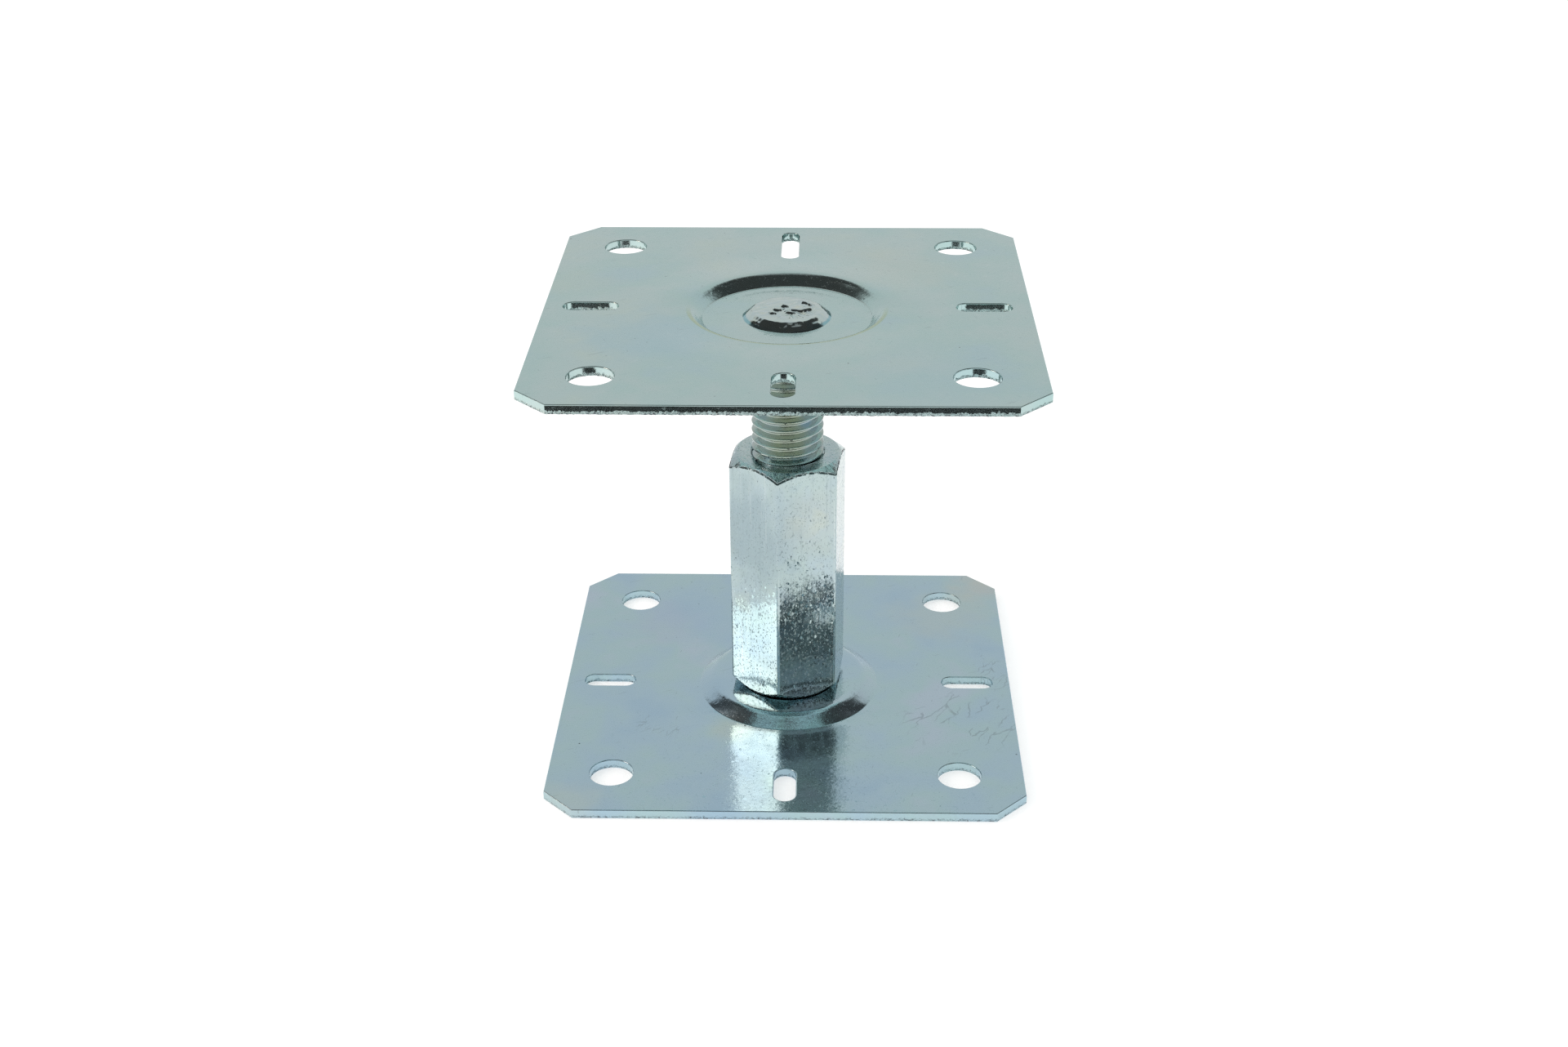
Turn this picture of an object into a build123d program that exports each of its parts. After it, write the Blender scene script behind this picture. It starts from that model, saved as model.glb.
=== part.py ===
from build123d import *
import math
import os

# Adjustable post base: a top plate on a threaded stud, raised and lowered by a
# hexagon sleeve that turns in place on the base plate.
# Millimetres, +Z up, the origin is the middle of the base plate's underside.
# The threads stay with scene.py: the stud is as thick as its thread's crests,
# and the sleeve's bore is as wide as its thread's roots.

# Driving sizes of the two pressed plates, which are one stamping used both ways up
plate_side = 130.0
sheet = 2.5
corner_cut = 8.5
edge_roll = 0.3

# Bolt holes, a square pattern set in from the plate's sides
hole_diameter = 12.0
hole_inset = 17.5

# Screw slots halfway along each side, lengthways towards the middle; the far one is longer and narrower.
# Each inset is from the plate's side to the slot's middle.
slot_length = 15.0
slot_width = 6.0
slot_inset = 12.5
long_slot_length = 22.0
long_slot_width = 5.0
long_slot_inset = 16.0

# Round dish pressed into each plate. The hollow side has its lip and its floor, and the raised side
# its foot on the flat sheet and its crown. Both walls are cones with a tight crease below and a soft edge
# above, the raised one is the gentler, and the sheet between them is drawn thinner than it was.
dish_depth = 2.8
dish_lip_radius = 25.8
dish_floor_radius = 22.7
dish_foot_radius = 26.1
dish_crown_radius = 21.8
lip_round = 3.0
floor_crease = 0.3
foot_crease = 0.4
crown_round = 3.0

# Shares of a dish wall that its soft edge and its crease may take up
soft_share = 0.85
crease_share = 0.1

# Threaded stud and its plug weld
thread_diameter = 20.0
stud_diameter = 19.84
stud_length = 90.0
stud_end_chamfer = 1.5
weld_diameter = 24.4
weld_height = 2.4
weld_rim_height = 0.9
weld_shoulder = 0.8

# Hexagon sleeve
sleeve_flats = 30.0
sleeve_length = 72.0
sleeve_turn = 21.6
sleeve_chamfer_diameter = 28.8
sleeve_chamfer_angle = 38.0
sleeve_mouth_diameter = 20.8

# The sleeve's neck goes through the base plate and is rolled over beneath it
neck_diameter = 25.0
neck_clearance = 0.1
seat_play = 0.3
rolled_rim_diameter = 29.0
rolled_rim_thickness = 1.5
rolled_rim_round = 0.6

# Height over both plates as photographed, which is the rest pose
overall_height = 120.0

# How far a trimming or joining body runs past what it meets, and how closely faces and edges are matched
spare = 1.0
match = 0.01

# Places in the plates that follow from their side
hole_spacing = plate_side - 2 * hole_inset
slot_offset = plate_side / 2 - slot_inset
long_slot_offset = plate_side / 2 - long_slot_inset

# Heights that follow from those
base_dish_top = sheet + dish_depth
sleeve_bottom = base_dish_top + seat_play
sleeve_top = sleeve_bottom + sleeve_length
rolled_rim_top = dish_depth - seat_play
rolled_rim_bottom = rolled_rim_top - rolled_rim_thickness
top_dish_floor = overall_height - dish_depth
stud_bottom = top_dish_floor - stud_length


# Rounds one corner of a section, by no more than its share of the dish wall has room for
def round_corner(section, corner, radius, share, wall_run):
    wall = math.hypot(wall_run, dish_depth)
    wall_angle = math.atan2(dish_depth, wall_run)
    room = share * wall / math.tan(wall_angle / 2)
    vertex = section.vertices().sort_by_distance((*corner, 0))[0]
    return fillet(vertex, min(radius, room))


# Section of the dished sheet with its hollow side up, from the centre hole out past the plate's corners
def sheet_section(centre_hole):
    inner = centre_hole / 2
    outer = plate_side
    lip = (dish_lip_radius, 0)
    floor = (dish_floor_radius, -dish_depth)
    foot = (dish_foot_radius, -sheet)
    crown = (dish_crown_radius, -sheet - dish_depth)
    section = make_face(Polyline(
        (inner, -dish_depth),
        floor,
        lip,
        (outer, 0),
        (outer, -sheet),
        foot,
        crown,
        (inner, -sheet - dish_depth),
        close=True,
    ))
    hollow_run = dish_lip_radius - dish_floor_radius
    raised_run = dish_foot_radius - dish_crown_radius
    section = round_corner(section, lip, lip_round, soft_share, hollow_run)
    section = round_corner(section, floor, floor_crease, crease_share, hollow_run)
    section = round_corner(section, crown, crown_round, soft_share, raised_run)
    section = round_corner(section, foot, foot_crease, crease_share, raised_run)
    return Plane.XZ * section


# Outline of the plate, a square with its corners cut off
def plate_outline():
    square = Rectangle(plate_side, plate_side)
    return chamfer(square.vertices(), corner_cut)


# Every bolt hole and slot of one plate, as flat outlines
def openings():
    holes = GridLocations(hole_spacing, hole_spacing, 2, 2) * Circle(hole_diameter / 2)
    slot = SlotOverall(slot_length, slot_width)
    left = Pos(-slot_offset, 0) * slot
    right = Pos(slot_offset, 0) * slot
    near = Pos(0, -slot_offset) * Rot(0, 0, 90) * slot
    far = Pos(0, long_slot_offset) * Rot(0, 0, 90) * SlotOverall(long_slot_length, long_slot_width)
    return Sketch() + [*holes, left, right, near, far]


# Rounds the edges that the press rolled over: the outline and every opening, on the upper face
def roll_edges(plate, height):
    flats = plate.faces().filter_by(Plane.XY).filter_by(lambda face: abs(face.center().Z - height) < match)
    upper_face = flats.sort_by(SortBy.AREA)[-1]
    wires = [upper_face.outer_wire()]
    for wire in upper_face.inner_wires():
        middle = wire.center()
        if math.hypot(middle.X, middle.Y) > dish_lip_radius:
            wires.append(wire)
    edges = [edge for wire in wires for edge in wire.edges()]
    return fillet(edges, edge_roll)


# One plate with its hollow side up and its upper face at height 0
def dished_plate(centre_hole):
    disc = revolve(sheet_section(centre_hole), Axis.Z)
    reach = dish_depth + sheet
    blank = Pos(0, 0, -reach) * extrude(plate_outline(), reach)
    cutters = Pos(0, 0, -reach) * extrude(openings(), 2 * reach)
    return (disc & blank) - cutters


def make_top_plate():
    plate = roll_edges(dished_plate(thread_diameter), 0)
    return Pos(0, 0, overall_height) * plate


# The same plate the other way up. Turned about Y, it keeps its long slot on the far side.
def make_base_plate():
    centre_hole = neck_diameter + 2 * neck_clearance
    plate = Rot(0, 180, 0) * dished_plate(centre_hole)
    return roll_edges(plate, sheet)


def make_threaded_stud():
    stud = Pos(0, 0, stud_bottom) * extrude(Circle(stud_diameter / 2), stud_length)
    end_edge = stud.edges().sort_by(Axis.Z)[0]
    return chamfer(end_edge, stud_end_chamfer)


# The weld stands on the dish floor and on the stud's end, a low dome with a steep rim
def make_plug_weld():
    radius = weld_diameter / 2
    foot = (radius, top_dish_floor)
    shoulder = (radius - weld_shoulder, top_dish_floor + weld_rim_height)
    crown = (0, top_dish_floor + weld_height)
    middle = (0, top_dish_floor)
    rim = TangentArc(foot, shoulder, tangent=(0, 1))
    dome = Spline(shoulder, crown, tangents=[rim % 1, (-1, 0)])
    section = make_face(Curve() + [rim, dome, Line(crown, middle), Line(middle, foot)])
    return revolve(Plane.XZ * section, Axis.Z)


# Body inside which the hexagon is trimmed: its two cones chamfer the corners at both ends
def sleeve_envelope():
    corner_radius = sleeve_flats / math.sqrt(3) + spare
    end_radius = sleeve_chamfer_diameter / 2
    drop = (corner_radius - end_radius) * math.tan(math.radians(sleeve_chamfer_angle))
    section = Polyline(
        (0, sleeve_bottom),
        (end_radius, sleeve_bottom),
        (corner_radius, sleeve_bottom + drop),
        (corner_radius, sleeve_top - drop),
        (end_radius, sleeve_top),
        (0, sleeve_top),
        close=True,
    )
    return revolve(Plane.XZ * make_face(section), Axis.Z)


# Neck below the hexagon, rolled over beneath the base plate so that the sleeve turns but can't lift
def sleeve_neck():
    neck_radius = neck_diameter / 2
    rim_radius = rolled_rim_diameter / 2
    overlap = sleeve_bottom + spare
    section = make_face(Polyline(
        (0, rolled_rim_bottom),
        (rim_radius, rolled_rim_bottom),
        (rim_radius, rolled_rim_top),
        (neck_radius, rolled_rim_top),
        (neck_radius, overlap),
        (0, overlap),
        close=True,
    ))
    rim_corners = [vertex for vertex in section.vertices() if vertex.X > rim_radius - match]
    section = fillet(rim_corners, rolled_rim_round)
    return revolve(Plane.XZ * section, Axis.Z)


def make_hex_sleeve():
    hexagon = RegularPolygon(sleeve_flats / 2, 6, major_radius=False, rotation=sleeve_turn)
    bar = Pos(0, 0, sleeve_bottom) * extrude(hexagon, sleeve_length)
    body = (bar & sleeve_envelope()) + sleeve_neck()
    bore_length = sleeve_top - rolled_rim_bottom
    body -= Pos(0, 0, rolled_rim_bottom) * extrude(Circle(thread_diameter / 2), bore_length)
    mouth_depth = (sleeve_mouth_diameter - thread_diameter) / 2
    mouths = body.edges().filter_by(GeomType.CIRCLE).filter_by(
        lambda edge: abs(edge.radius - thread_diameter / 2) < match)
    return chamfer([mouths.sort_by(Axis.Z)[0], mouths.sort_by(Axis.Z)[-1]], mouth_depth)


nodes = {
    "base_plate": make_base_plate(),
    "hex_sleeve": make_hex_sleeve(),
    "threaded_stud": make_threaded_stud(),
    "plug_weld": make_plug_weld(),
    "top_plate": make_top_plate(),
}

os.makedirs("parts", exist_ok=True)
for name, shape in nodes.items():
    box = shape.bounding_box()
    print(name, "solids", len(shape.solids()), "valid", shape.is_valid, "volume", round(shape.volume),
          "z", round(box.min.Z, 2), round(box.max.Z, 2))
    export_step(shape, f"parts/{name}.step")
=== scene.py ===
import math
from functools import partial

import bmesh
import bpy
from mathutils import Matrix, Vector, noise


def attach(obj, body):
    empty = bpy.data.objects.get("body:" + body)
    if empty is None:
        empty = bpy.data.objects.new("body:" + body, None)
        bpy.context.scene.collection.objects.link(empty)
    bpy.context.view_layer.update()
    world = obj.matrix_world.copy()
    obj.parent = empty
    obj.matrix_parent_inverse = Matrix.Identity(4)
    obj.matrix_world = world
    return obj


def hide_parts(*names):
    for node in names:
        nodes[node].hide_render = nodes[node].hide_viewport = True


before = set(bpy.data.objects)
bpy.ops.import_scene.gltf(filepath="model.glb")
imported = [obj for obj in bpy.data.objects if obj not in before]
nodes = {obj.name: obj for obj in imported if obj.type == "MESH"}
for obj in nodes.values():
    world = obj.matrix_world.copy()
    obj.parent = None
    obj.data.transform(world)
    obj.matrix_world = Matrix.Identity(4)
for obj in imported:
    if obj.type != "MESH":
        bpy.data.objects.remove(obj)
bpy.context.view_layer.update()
mm = 0.001
print("frame loaded:", ", ".join(sorted(nodes)))


# Colours are written as sRGB hex and turned to linear here
def linear(hexColour):
    channels = []
    for start in (1, 3, 5):
        value = int(hexColour[start:start + 2], 16) / 255
        channels.append(value / 12.92 if value <= 0.04045 else ((value + 0.055) / 1.055) ** 2.4)
    return (*channels, 1.0)


# Adds one node with its inputs, as plain values or as sockets to link, and its settings, and returns its
# outputs
def addNode(tree, kind, inputs=None, **settings):
    node = tree.nodes.new(kind)
    for key, value in settings.items():
        setattr(node, key, value)
    for key, value in (inputs or {}).items():
        if isinstance(value, bpy.types.NodeSocket):
            tree.links.new(value, node.inputs[key])
        else:
            node.inputs[key].default_value = value
    return node.outputs


# A soft mask, the product of its parts. Each part is a ready share, or a value with where the mask starts
# and where it is full.
def softMask(tree, *parts, full=1.0):
    mask = None
    for part in parts:
        if isinstance(part, tuple):
            value, start, end = part
            part = addNode(tree, "ShaderNodeMapRange",
                           {"Value": value, "From Min": start, "From Max": end, "To Max": full},
                           interpolation_type="SMOOTHSTEP")["Result"]
            full = 1.0
        if mask:
            part = addNode(tree, "ShaderNodeMath", {0: mask, 1: part}, operation="MULTIPLY")[0]
        mask = part
    return mask


# Lays values or colours over a ground, each by its own share
def layOver(tree, ground, layers, kind):
    for share, value in layers:
        ground = addNode(tree, "ShaderNodeMix", {"Factor": share, "A": ground, "B": value},
                         data_type=kind)["Result"]
    return ground


# How far a value lies from its middle, whichever side it is on
def distanceFrom(tree, value, middle):
    offset = addNode(tree, "ShaderNodeMath", {0: value, 1: middle}, operation="SUBTRACT")[0]
    return addNode(tree, "ShaderNodeMath", {0: offset}, operation="ABSOLUTE")[0]


def newMaterial(name):
    material = bpy.data.materials.new(name)
    material.use_nodes = True
    material.node_tree.nodes.clear()
    return material, material.node_tree


# With an angle, its faces are smooth and edges sharper than that stay crisp
def newPiece(name, mesh, material, sharpAngle=None):
    piece = bpy.data.objects.new(name, mesh)
    bpy.context.scene.collection.objects.link(piece)
    mesh.materials.clear()
    mesh.materials.append(material)
    if sharpAngle:
        mesh.shade_smooth()
        mesh.set_sharp_from_angle(angle=math.radians(sharpAngle))
    return piece


def meshFrom(builder, name):
    bmesh.ops.recalc_face_normals(builder, faces=builder.faces)
    mesh = bpy.data.meshes.new(name)
    builder.to_mesh(mesh)
    builder.free()
    return mesh


# Steel electroplated with bright zinc and a blue passivate: a metal under a faint bluish or greenish film,
# with the steel's fine grain, cloudy tints, small pits and handling scratches, and torn edges where it was
# sheared. Marks of one kind gather in lists: tints and roughnesses to lay over one another, and heights to
# add up. All sizes are in millimetres.
def zincFinish(name, look):
    material, tree = newMaterial(name)
    tints, heights, finishes = [], [], []
    add = partial(addNode, tree)
    coords = add("ShaderNodeTexCoord")["Object"]
    coords = add("ShaderNodeVectorMath", {0: coords, "Scale": 1 / mm}, operation="SCALE")[0]
    axes = add("ShaderNodeSeparateXYZ", {"Vector": coords})
    level = add("ShaderNodeCombineXYZ", {"X": axes["X"], "Y": axes["Y"]})[0]
    radius = add("ShaderNodeVectorMath", {0: level}, operation="LENGTH")["Value"]
    grained = add("ShaderNodeMapping", {"Vector": coords, "Scale": (1.0, 1.0, look.get("grainStretch", 1.0))},
                  vector_type="TEXTURE")[0]
    surface = add("ShaderNodeNewGeometry")

    # noises that several marks share: coordinates, size and detail
    noises = {}
    for kind, vector, size, detail in (("clouds", coords, look["cloud"], 3.0), ("swell", coords, 14.0, 1.0),
                                       ("patches", coords, 11.0, 2.0), ("mottle", coords, 4.0, 2.0),
                                       ("ragged", coords, 0.9, 3.0), ("grain", grained, look["grain"], 3.0)):
        noises[kind] = add("ShaderNodeTexNoise", {
            "Vector": vector, "Scale": 1 / size, "Detail": detail, "Roughness": 0.6})["Fac"]
    heights += [(noises["swell"], look["swellHeight"]), (noises["grain"], look["grainHeight"])]

    # cloudy tints of the film, from one to the next, in place of the ramp's black and white
    clouds = add("ShaderNodeValToRGB", {"Fac": noises["clouds"]})["Color"]
    ramp = tree.nodes[-1].color_ramp.elements
    ramp.remove(ramp[1])
    for step, tint in enumerate(look["tints"]):
        ramp.new(0.32 + 0.12 * step).color = linear(tint)
    ramp.remove(ramp[0])

    # stains, and on the sleeve and thread painted shade and painted reflections: soft uneven spots of another
    # tint
    for place, reach, tint, strength in look.get("stainsAndPaintedLight", []):
        away = add("ShaderNodeVectorMath", {0: coords, 1: place}, operation="DISTANCE")["Value"]
        uneven = add("ShaderNodeMath", {0: noises["patches"], 1: reach, 2: away}, operation="MULTIPLY_ADD")[0]
        tints.append((softMask(tree, (uneven, reach * 1.5, reach * 0.7), full=strength), tint))

    # pits and dark specks well under a millimetre, where a coarser noise gathers them
    for spacing, reach, gather in look["pits"]:
        cells = add("ShaderNodeTexVoronoi", {"Vector": grained, "Scale": 1 / spacing})
        lot = add("ShaderNodeSeparateColor", {"Color": cells["Color"]})[0]
        own = softMask(tree, (lot, 0.35, 1.0), full=reach / spacing)
        inside = add("ShaderNodeMath", {0: own, 1: cells["Distance"]}, operation="SUBTRACT")[0]
        pit = softMask(tree, (inside, 0.0, reach / spacing * 0.5), (noises["patches"], gather, gather + 0.12))
        tints.append((pit, look["pitColour"]))
        heights.append((pit, -0.04))

    # handling scratches: long thin cells of a stretched pattern, of which only a few are kept
    scratchSpacing = 2.2
    for turn, length, width, share, strength in look.get("scratches", []):
        drawnOut = add("ShaderNodeMapping",
                       {"Vector": coords, "Location": (turn * 0.37, turn * 0.11, 0.0),
                        "Rotation": (0.0, 0.0, math.radians(turn)), "Scale": (length, 1.0, 1.0)},
                       vector_type="TEXTURE")[0]
        wander = add("ShaderNodeVectorMath",
                     {0: noises["patches"], 1: (1.6, 1.6, 0.0), 2: drawnOut}, operation="MULTIPLY_ADD")[0]
        cells = add("ShaderNodeTexVoronoi", {"Vector": wander, "Scale": 1 / scratchSpacing},
                    voronoi_dimensions="2D")
        lot = add("ShaderNodeSeparateColor", {"Color": cells["Color"]})[1]
        kept = add("ShaderNodeMath", {0: lot, 1: 1 - share}, operation="GREATER_THAN")[0]
        width /= scratchSpacing
        mark = softMask(tree, (cells["Distance"], width, width / 2), kept, full=strength)
        tints.append((mark, look["scratchColour"]))

    # scribbled rub marks: bits of the lines between stretched cells, near one place
    for place, reach, size, strength in look.get("rubs", []):
        away = add("ShaderNodeVectorMath", {0: coords, 1: place}, operation="DISTANCE")["Value"]
        leaning = add("ShaderNodeMapping",
                      {"Vector": coords, "Location": place,
                       "Rotation": (0.0, 0.0, math.radians(62)), "Scale": (4.0, 1.0, 1.0)},
                      vector_type="TEXTURE")[0]
        shaken = add("ShaderNodeVectorMath", {0: noises["mottle"], 1: (0.0, 4.0, 0.0), 2: leaning},
                     operation="MULTIPLY_ADD")[0]
        lines = add("ShaderNodeTexVoronoi", {"Vector": shaken, "Scale": 1 / size},
                    feature="DISTANCE_TO_EDGE", voronoi_dimensions="2D")["Distance"]
        mark = softMask(tree, (lines, 0.07, 0.03), (noises["patches"], 0.47, 0.55),
                        (away, reach, reach * 0.6), full=strength)
        tints.append((mark, look["scratchColour"]))

    # round lines about the axis, each fading in between two values of Y
    for middle, width, tint, strength, uneven, (low, high) in look.get("rings", []):
        shaken = add("ShaderNodeMath", {0: noises["ragged"], 1: uneven, 2: radius},
                     operation="MULTIPLY_ADD")[0]
        offset = distanceFrom(tree, shaken, middle + 0.5 * uneven)
        band = softMask(tree, (offset, width, width * 0.4), (axes["Y"], low, high), full=strength)
        tints.append((band, tint))

    # how a pressed form differs from plain cones: height gained outwards between two radii, level again
    # further out, and fading in along Y
    levelling = 15.0
    for inner, outer, gain, (low, high) in look.get("softForms", []):
        form = softMask(tree, (radius, inner, outer), (radius, outer + levelling, outer),
                        (axes["Y"], low, high))
        heights.append((form, gain))

    # lengthways lines left by the drawing die, fine across and long down the bar
    if look.get("drawLines"):
        drawnOut = add("ShaderNodeMapping", {"Vector": coords, "Scale": (1.0, 1.0, 60.0)},
                       vector_type="TEXTURE")[0]
        lines = add("ShaderNodeTexNoise", {
            "Vector": drawnOut, "Scale": 1 / 0.9, "Detail": 4.0, "Roughness": 0.7})["Fac"]
        heights.append((lines, look["drawLines"]))
        for low, high, tint in ((0.55, 0.75, look["lineColour"]), (0.42, 0.28, "#DCE4E2")):
            tints.append((softMask(tree, (lines, low, high), full=0.45), tint))

    # the scalloped edges where a cone was turned on the flats: dark burrs and nicks close to the edge
    if look.get("turnedEdges"):
        flats = 0.0
        for step in range(3):
            angle = math.radians(look["flatAngle"] + 60 * step)
            away = add("ShaderNodeVectorMath", {0: coords, 1: (math.cos(angle), math.sin(angle), 0.0)},
                       operation="DOT_PRODUCT")["Value"]
            away = add("ShaderNodeMath", {0: away}, operation="ABSOLUTE")[0]
            flats = add("ShaderNodeMath", {0: flats, 1: away}, operation="MAXIMUM")[0]
        broken = softMask(tree, (flats, 14.55, 14.8), (noises["ragged"], 0.43, 0.53))
        for height, start, slope, width in look["turnedEdges"]:
            cone = add("ShaderNodeMath", {0: radius, 1: slope, 2: axes["Z"]}, operation="MULTIPLY_ADD")[0]
            offset = distanceFrom(tree, cone, height + start * slope)
            specks = softMask(tree, (offset, width, width * 0.3), broken, full=0.95)
            tints.append((specks, "#2F3A3C"))
            heights.append((specks, -0.25))

    # roughness wanders with the mottle
    smoothest, roughest = look["roughness"]
    finishes.append((softMask(tree, (noises["mottle"], 0.3, 0.7)), roughest))

    # the wall of the dish, which drawing has left duller than the flat sheet
    if look.get("drawnWall"):
        inner, outer, value = look["drawnWall"]
        finishes.append((softMask(tree, (radius, inner, inner + 1), (radius, outer + 1, outer)), value))

    # small matt spots, which scatter some light into the dark reflections
    if look.get("mattSpots"):
        size, start, value = look["mattSpots"]
        spots = add("ShaderNodeTexNoise", {"Vector": grained, "Scale": 1 / size, "Detail": 1.0})["Fac"]
        finishes.append((softMask(tree, (spots, start, start + 0.06)), value))

    # walls of the sheet: burnished above and torn below, where the punch broke the steel
    if look.get("shearedEdge"):
        low, high = look["shearedEdge"]
        facing = add("ShaderNodeSeparateXYZ", {"Vector": surface["True Normal"]})["Z"]
        facing = add("ShaderNodeMath", {0: facing}, operation="ABSOLUTE")[0]
        edge = add("ShaderNodeMath", {0: noises["ragged"], 1: 2.0, 2: axes["Z"]}, operation="MULTIPLY_ADD")[0]
        fibres = add("ShaderNodeTexNoise", {
            "Vector": coords, "Scale": 1 / 0.6, "Detail": 3.0, "Roughness": 0.75})["Fac"]
        wall = softMask(tree, (facing, 0.35, 0.15))
        torn = softMask(tree, (edge, high, low), wall)
        finishes += [(wall, 0.14), (torn, 0.3)]
        heights.append((softMask(tree, fibres, torn), 0.45))
        tints.append((softMask(tree, (fibres, 0.5, 0.6), torn), look["tornColour"]))

    # grains of the steel under the film: small facets, most nearly level and a few well tipped
    size, tip = look["facets"]
    facets = add("ShaderNodeTexVoronoi", {"Vector": grained, "Scale": 1 / size})["Color"]
    lean = add("ShaderNodeVectorMath", {0: facets, 1: (2.0, 2.0, 2.0), 2: (-1.0, -1.0, -1.0)},
               operation="MULTIPLY_ADD")[0]
    amount = add("ShaderNodeVectorMath", {0: lean}, operation="LENGTH")["Value"]
    amount = add("ShaderNodeMath", {0: amount, 1: 5.0}, operation="POWER")[0]
    amount = add("ShaderNodeMath", {0: amount, 1: tip}, operation="MULTIPLY")[0]
    normal = add("ShaderNodeVectorMath", {0: lean, 1: amount, 2: surface["Normal"]},
                 operation="MULTIPLY_ADD")[0]
    normal = add("ShaderNodeVectorMath", {0: normal}, operation="NORMALIZE")[0]

    colour = layOver(tree, clouds, [(share, linear(tint)) for share, tint in tints], "RGBA")
    rough = layOver(tree, smoothest, finishes, "FLOAT")
    relief = 0.0
    for height, depth in heights:
        relief = add("ShaderNodeMath", {0: height, 1: depth, 2: relief}, operation="MULTIPLY_ADD")[0]
    normal = add("ShaderNodeBump", {"Strength": 1.0, "Distance": mm, "Height": relief, "Normal": normal})[0]
    shader = add("ShaderNodeBsdfPrincipled",
                 {"Base Color": colour, "Metallic": 1.0, "Roughness": rough, "Normal": normal})
    add("ShaderNodeOutputMaterial", {"Surface": shader[0]})
    return material


# Both plates: cold-rolled sheet, pressed and punched before plating. The grain of the sheet shows only
# where it mirrors an edge between light and dark.
plateLook = {
    "cloud": 30.0,
    "pits": [(3.2, 0.35, 0.52), (11.0, 0.5, 0.40)],       # spacing, largest reach, how far they gather
    "pitColour": "#49545A",
    # turn, length, width, the share that is kept, and strength
    "scratches": [(24, 9, 0.16, 0.10, 0.42), (-61, 6, 0.14, 0.08, 0.38)],
    "scratchColour": "#7F8D93",
    "mattSpots": (0.7, 0.64, 0.32),
    "facets": (0.8, 0.005),
    "grain": 1.1,
    "grainHeight": 0.030,
    "swellHeight": 0.06,
    "roughness": (0.11, 0.17),
    "tornColour": "#59626A",
}
topPlateZinc = zincFinish("pressed sheet, pale greenish zinc plate", {
    **plateLook,
    "tints": ("#AEC9CD", "#B0CBC9", "#B6CCCB", "#B9CDC8"),
    "shearedEdge": (118.5, 119.3),
    "drawnWall": (22.0, 26.0, 0.17),
    "stainsAndPaintedLight": [((-34, -22, 120), 26, "#A6C6D0", 0.6), ((40, -48, 120), 30, "#ABC8CF", 0.4),
               ((30, 30, 120), 24, "#C0CCC4", 0.4), ((-58, 18, 120), 16, "#BACCC2", 0.4)],
    # a darker line painted as shade in the crease at the dish floor's far side, and the film greenish over
    # the near lip
    "rings": [(22.75, 0.22, "#A3ADA8", 0.5, 0.6, (0, 14)), (26.35, 0.9, "#A0B58E", 0.75, 0.0, (2, -10))],
    # the far lip is softer than the cone's, the floor rises a little to it, and the other walls are gentler
    "softForms": [(24.0, 28.0, 0.45, (-20, 4)), (19.5, 22.6, 0.3, (0, 14)), (22.7, 25.8, -0.6, (14, -2))],
})
basePlateZinc = zincFinish("pressed sheet, bluish zinc plate", {
    **plateLook,
    "tints": ("#A6C1D2", "#ABC5D2", "#ADC8CD", "#B4C7D3"),
    "shearedEdge": (0.9, 1.9),
    "drawnWall": (21.0, 26.0, 0.19),
    "stainsAndPaintedLight": [((61, 60, 2.5), 15, "#C6C6BC", 0.6), ((46, 40, 2.5), 20, "#B9C8C4", 0.5),
               ((-20, 30, 2.5), 22, "#A6C0D6", 0.5), ((-40, 34, 2.5), 18, "#B0BED0", 0.4),
               ((-58, -60, 2.5), 12, "#BFCCC4", 0.4), ((-16, -26, 2.5), 8, "#BCC8BC", 0.4)],
    "scratches": [(24, 9, 0.16, 0.10, 0.30), (-61, 6, 0.14, 0.08, 0.28), (75, 7, 0.15, 0.07, 0.35)],
    "rubs": [((50, -20, 2.5), 20, 3.0, 0.45), ((62, 4, 2.5), 10, 1.8, 0.5), ((-36, -24, 2.5), 8, 1.6, 0.4)],
    # a darker line painted as shade along the foot of the dish's near side
    "rings": [(26.05, 0.25, "#7E8F96", 0.35, 0.2, (-10, -18))],
    # the near side is a little steeper than the cone, the rest gentler
    "softForms": [(19.5, 22.5, -0.2, (-1000, -900)), (21.8, 26.3, 0.32, (-23, -15)),
                  (20.8, 27.2, -0.50, (-12, -19)), (26.0, 28.5, -0.12, (-1000, -900))],
})

# Cold-drawn hexagon bar, turned and bored, then plated. Its grain is coarse enough to sparkle.
sleeveZinc = zincFinish("drawn bar, bright zinc plate", {
    "cloud": 18.0,
    "tints": ("#ACC0C5", "#B6C8C7", "#B3C5CB", "#BDCAC3"),
    # painted light among these spots: darker bluish patches on the front-left faces are painted shade, and
    # the warm spot on the front-right face is a painted reflection
    "stainsAndPaintedLight": [((-13, -11, 58), 27, "#99ACB2", 0.85), ((-13, -11, 30), 14, "#A0B5BC", 0.6),
               ((8, -14, 62), 14, "#C2C8BE", 0.3)],
    "pits": [(1.3, 0.26, 0.42)],
    "pitColour": "#7C8A90",
    "mattSpots": (0.5, 0.59, 0.45),
    "facets": (0.5, 0.012),
    "grain": 1.0,
    "grainStretch": 1.5,        # along the bar
    "grainHeight": 0.022,
    "swellHeight": 0.08,
    "drawLines": 0.04,
    "lineColour": "#94A5A9",
    "flatAngle": 51.6,          # direction of a flat from +X
    # height, start and slope of each cone, and the width of its ragged edge
    "turnedEdges": [(77.6, 14.4, 0.781, 0.35), (5.6, 14.3, -0.966, 0.25)],
    "roughness": (0.07, 0.12),
})
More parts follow.
